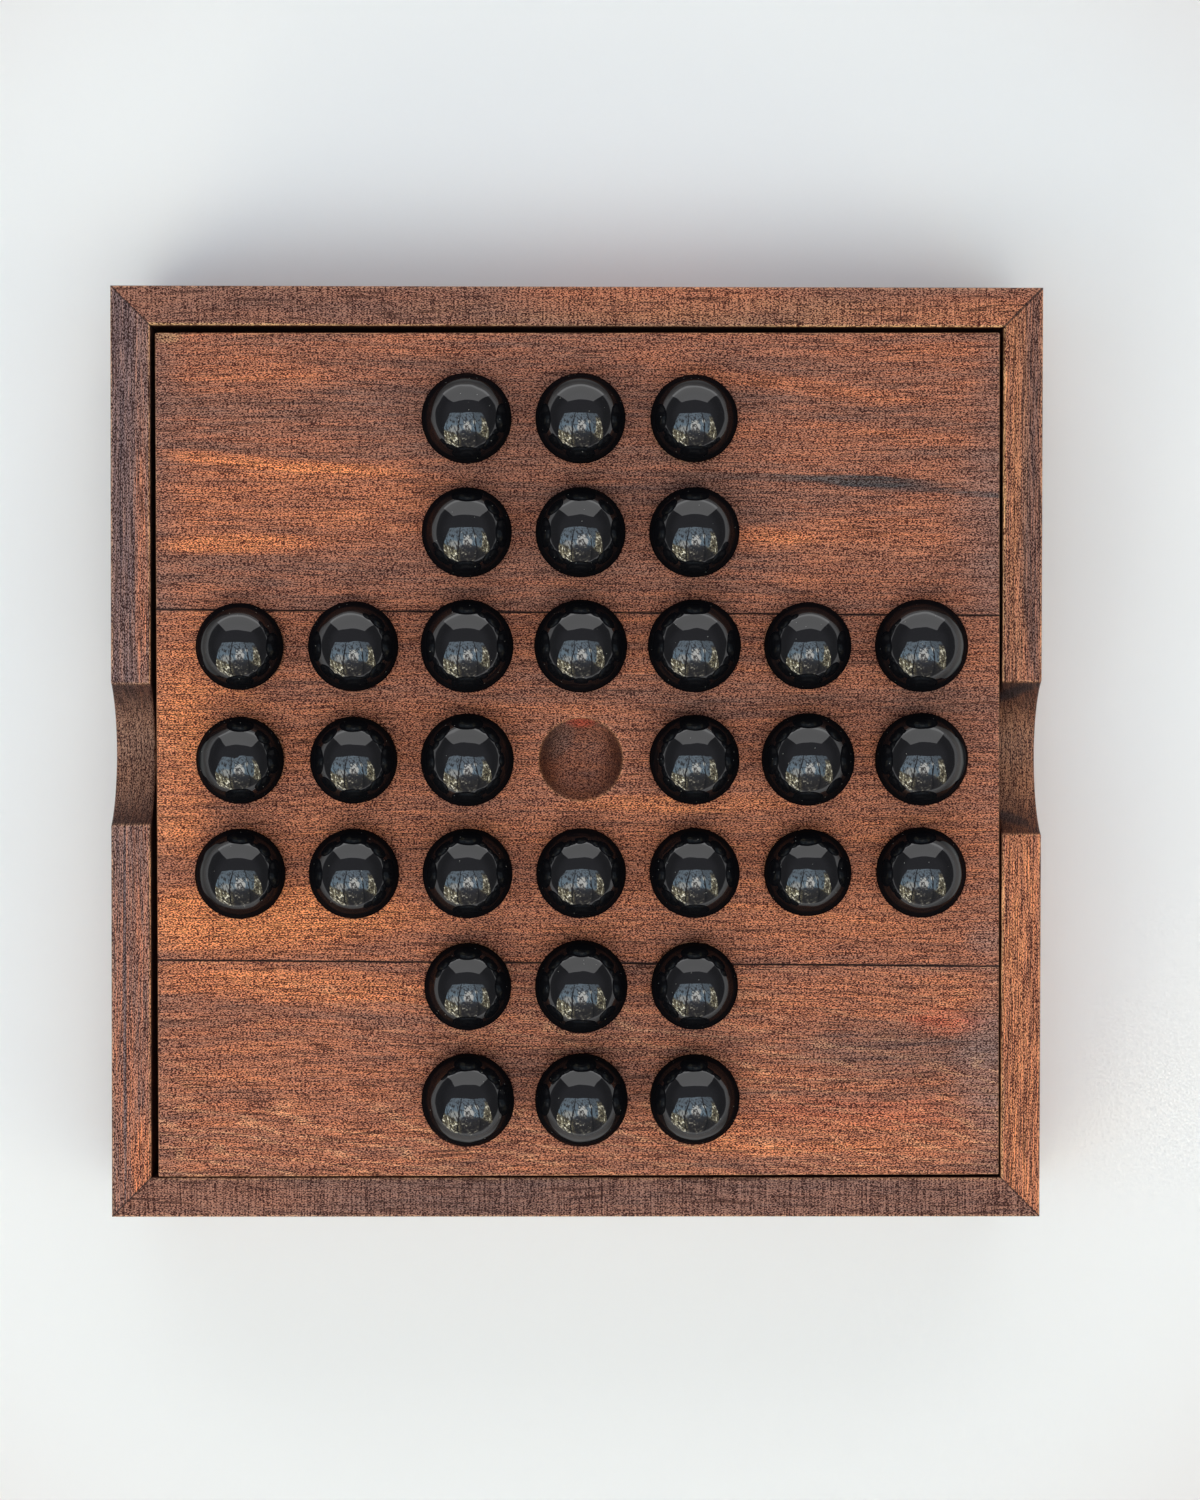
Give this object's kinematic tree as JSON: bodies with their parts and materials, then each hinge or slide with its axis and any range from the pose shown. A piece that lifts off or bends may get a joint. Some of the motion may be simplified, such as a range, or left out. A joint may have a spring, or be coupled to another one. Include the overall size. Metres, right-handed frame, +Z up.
{
  "type": "peg solitaire board",
  "caption": "Square wooden peg solitaire board: a loose planked board with cups for dark glass marbles, in a mitred case with finger notches and storage below.",
  "frame": {"origin": "middle of the case at the height of its lower edge", "axes": "+Z up out of the board, +X towards the right-hand notched side, +Y towards the back row of cups"},
  "size_m": [0.165, 0.165, 0.0451],
  "materials": {
    "cross_side_wood": "dark reddish hardwood, rubbed satin",
    "notched_side_wood": "dark reddish hardwood, rubbed satin",
    "ledge_wood": "plain hardwood strip, unfinished",
    "panel_wood": "thin plywood, unfinished",
    "rear_plank_wood": "reddish brown hardwood with dark streaks, rubbed satin",
    "middle_plank_wood": "reddish brown hardwood, rubbed satin",
    "front_plank_wood": "lighter orange brown hardwood, rubbed satin",
    "marble_glass": "opaque black glass, polished"
  },
  "bodies": {
    "case": {"back_side": "cross_side_wood", "front_side": "cross_side_wood", "left_side": "notched_side_wood", "right_side": "notched_side_wood", "bottom_panel": "panel_wood", "back_ledge": "ledge_wood", "front_ledge": "ledge_wood", "left_ledge": "ledge_wood", "right_ledge": "ledge_wood"},
    "board": {"rear_plank": "rear_plank_wood", "middle_plank": "middle_plank_wood", "front_plank": "front_plank_wood"},
    "marble_c1": {"marble_c1": "marble_glass"},
    "marble_d1": {"marble_d1": "marble_glass"},
    "marble_e1": {"marble_e1": "marble_glass"},
    "marble_c2": {"marble_c2": "marble_glass"},
    "marble_d2": {"marble_d2": "marble_glass"},
    "marble_e2": {"marble_e2": "marble_glass"},
    "marble_a3": {"marble_a3": "marble_glass"},
    "marble_b3": {"marble_b3": "marble_glass"},
    "marble_c3": {"marble_c3": "marble_glass"},
    "marble_d3": {"marble_d3": "marble_glass"},
    "marble_e3": {"marble_e3": "marble_glass"},
    "marble_f3": {"marble_f3": "marble_glass"},
    "marble_g3": {"marble_g3": "marble_glass"},
    "marble_a4": {"marble_a4": "marble_glass"},
    "marble_b4": {"marble_b4": "marble_glass"},
    "marble_c4": {"marble_c4": "marble_glass"},
    "marble_e4": {"marble_e4": "marble_glass"},
    "marble_f4": {"marble_f4": "marble_glass"},
    "marble_g4": {"marble_g4": "marble_glass"},
    "marble_a5": {"marble_a5": "marble_glass"},
    "marble_b5": {"marble_b5": "marble_glass"},
    "marble_c5": {"marble_c5": "marble_glass"},
    "marble_d5": {"marble_d5": "marble_glass"},
    "marble_e5": {"marble_e5": "marble_glass"},
    "marble_f5": {"marble_f5": "marble_glass"},
    "marble_g5": {"marble_g5": "marble_glass"},
    "marble_c6": {"marble_c6": "marble_glass"},
    "marble_d6": {"marble_d6": "marble_glass"},
    "marble_e6": {"marble_e6": "marble_glass"},
    "marble_c7": {"marble_c7": "marble_glass"},
    "marble_d7": {"marble_d7": "marble_glass"},
    "marble_e7": {"marble_e7": "marble_glass"}
  },
  "joints": [
    {"name": "board_lift", "type": "slide", "parent": "case", "child": "board", "axis": [0, 0, 1], "range_m": [0, 0.04]},
    {"name": "marble_c1_lift", "type": "slide", "parent": "board", "child": "marble_c1", "axis": [0, 0, 1], "range_m": [0, 0.03]},
    {"name": "marble_d1_lift", "type": "slide", "parent": "board", "child": "marble_d1", "axis": [0, 0, 1], "range_m": [0, 0.03]},
    {"name": "marble_e1_lift", "type": "slide", "parent": "board", "child": "marble_e1", "axis": [0, 0, 1], "range_m": [0, 0.03]},
    {"name": "marble_c2_lift", "type": "slide", "parent": "board", "child": "marble_c2", "axis": [0, 0, 1], "range_m": [0, 0.03]},
    {"name": "marble_d2_lift", "type": "slide", "parent": "board", "child": "marble_d2", "axis": [0, 0, 1], "range_m": [0, 0.03]},
    {"name": "marble_e2_lift", "type": "slide", "parent": "board", "child": "marble_e2", "axis": [0, 0, 1], "range_m": [0, 0.03]},
    {"name": "marble_a3_lift", "type": "slide", "parent": "board", "child": "marble_a3", "axis": [0, 0, 1], "range_m": [0, 0.03]},
    {"name": "marble_b3_lift", "type": "slide", "parent": "board", "child": "marble_b3", "axis": [0, 0, 1], "range_m": [0, 0.03]},
    {"name": "marble_c3_lift", "type": "slide", "parent": "board", "child": "marble_c3", "axis": [0, 0, 1], "range_m": [0, 0.03]},
    {"name": "marble_d3_lift", "type": "slide", "parent": "board", "child": "marble_d3", "axis": [0, 0, 1], "range_m": [0, 0.03]},
    {"name": "marble_e3_lift", "type": "slide", "parent": "board", "child": "marble_e3", "axis": [0, 0, 1], "range_m": [0, 0.03]},
    {"name": "marble_f3_lift", "type": "slide", "parent": "board", "child": "marble_f3", "axis": [0, 0, 1], "range_m": [0, 0.03]},
    {"name": "marble_g3_lift", "type": "slide", "parent": "board", "child": "marble_g3", "axis": [0, 0, 1], "range_m": [0, 0.03]},
    {"name": "marble_a4_lift", "type": "slide", "parent": "board", "child": "marble_a4", "axis": [0, 0, 1], "range_m": [0, 0.03]},
    {"name": "marble_b4_lift", "type": "slide", "parent": "board", "child": "marble_b4", "axis": [0, 0, 1], "range_m": [0, 0.03]},
    {"name": "marble_c4_lift", "type": "slide", "parent": "board", "child": "marble_c4", "axis": [0, 0, 1], "range_m": [0, 0.03]},
    {"name": "marble_e4_lift", "type": "slide", "parent": "board", "child": "marble_e4", "axis": [0, 0, 1], "range_m": [0, 0.03]},
    {"name": "marble_f4_lift", "type": "slide", "parent": "board", "child": "marble_f4", "axis": [0, 0, 1], "range_m": [0, 0.03]},
    {"name": "marble_g4_lift", "type": "slide", "parent": "board", "child": "marble_g4", "axis": [0, 0, 1], "range_m": [0, 0.03]},
    {"name": "marble_a5_lift", "type": "slide", "parent": "board", "child": "marble_a5", "axis": [0, 0, 1], "range_m": [0, 0.03]},
    {"name": "marble_b5_lift", "type": "slide", "parent": "board", "child": "marble_b5", "axis": [0, 0, 1], "range_m": [0, 0.03]},
    {"name": "marble_c5_lift", "type": "slide", "parent": "board", "child": "marble_c5", "axis": [0, 0, 1], "range_m": [0, 0.03]},
    {"name": "marble_d5_lift", "type": "slide", "parent": "board", "child": "marble_d5", "axis": [0, 0, 1], "range_m": [0, 0.03]},
    {"name": "marble_e5_lift", "type": "slide", "parent": "board", "child": "marble_e5", "axis": [0, 0, 1], "range_m": [0, 0.03]},
    {"name": "marble_f5_lift", "type": "slide", "parent": "board", "child": "marble_f5", "axis": [0, 0, 1], "range_m": [0, 0.03]},
    {"name": "marble_g5_lift", "type": "slide", "parent": "board", "child": "marble_g5", "axis": [0, 0, 1], "range_m": [0, 0.03]},
    {"name": "marble_c6_lift", "type": "slide", "parent": "board", "child": "marble_c6", "axis": [0, 0, 1], "range_m": [0, 0.03]},
    {"name": "marble_d6_lift", "type": "slide", "parent": "board", "child": "marble_d6", "axis": [0, 0, 1], "range_m": [0, 0.03]},
    {"name": "marble_e6_lift", "type": "slide", "parent": "board", "child": "marble_e6", "axis": [0, 0, 1], "range_m": [0, 0.03]},
    {"name": "marble_c7_lift", "type": "slide", "parent": "board", "child": "marble_c7", "axis": [0, 0, 1], "range_m": [0, 0.03]},
    {"name": "marble_d7_lift", "type": "slide", "parent": "board", "child": "marble_d7", "axis": [0, 0, 1], "range_m": [0, 0.03]},
    {"name": "marble_e7_lift", "type": "slide", "parent": "board", "child": "marble_e7", "axis": [0, 0, 1], "range_m": [0, 0.03]}
  ]
}
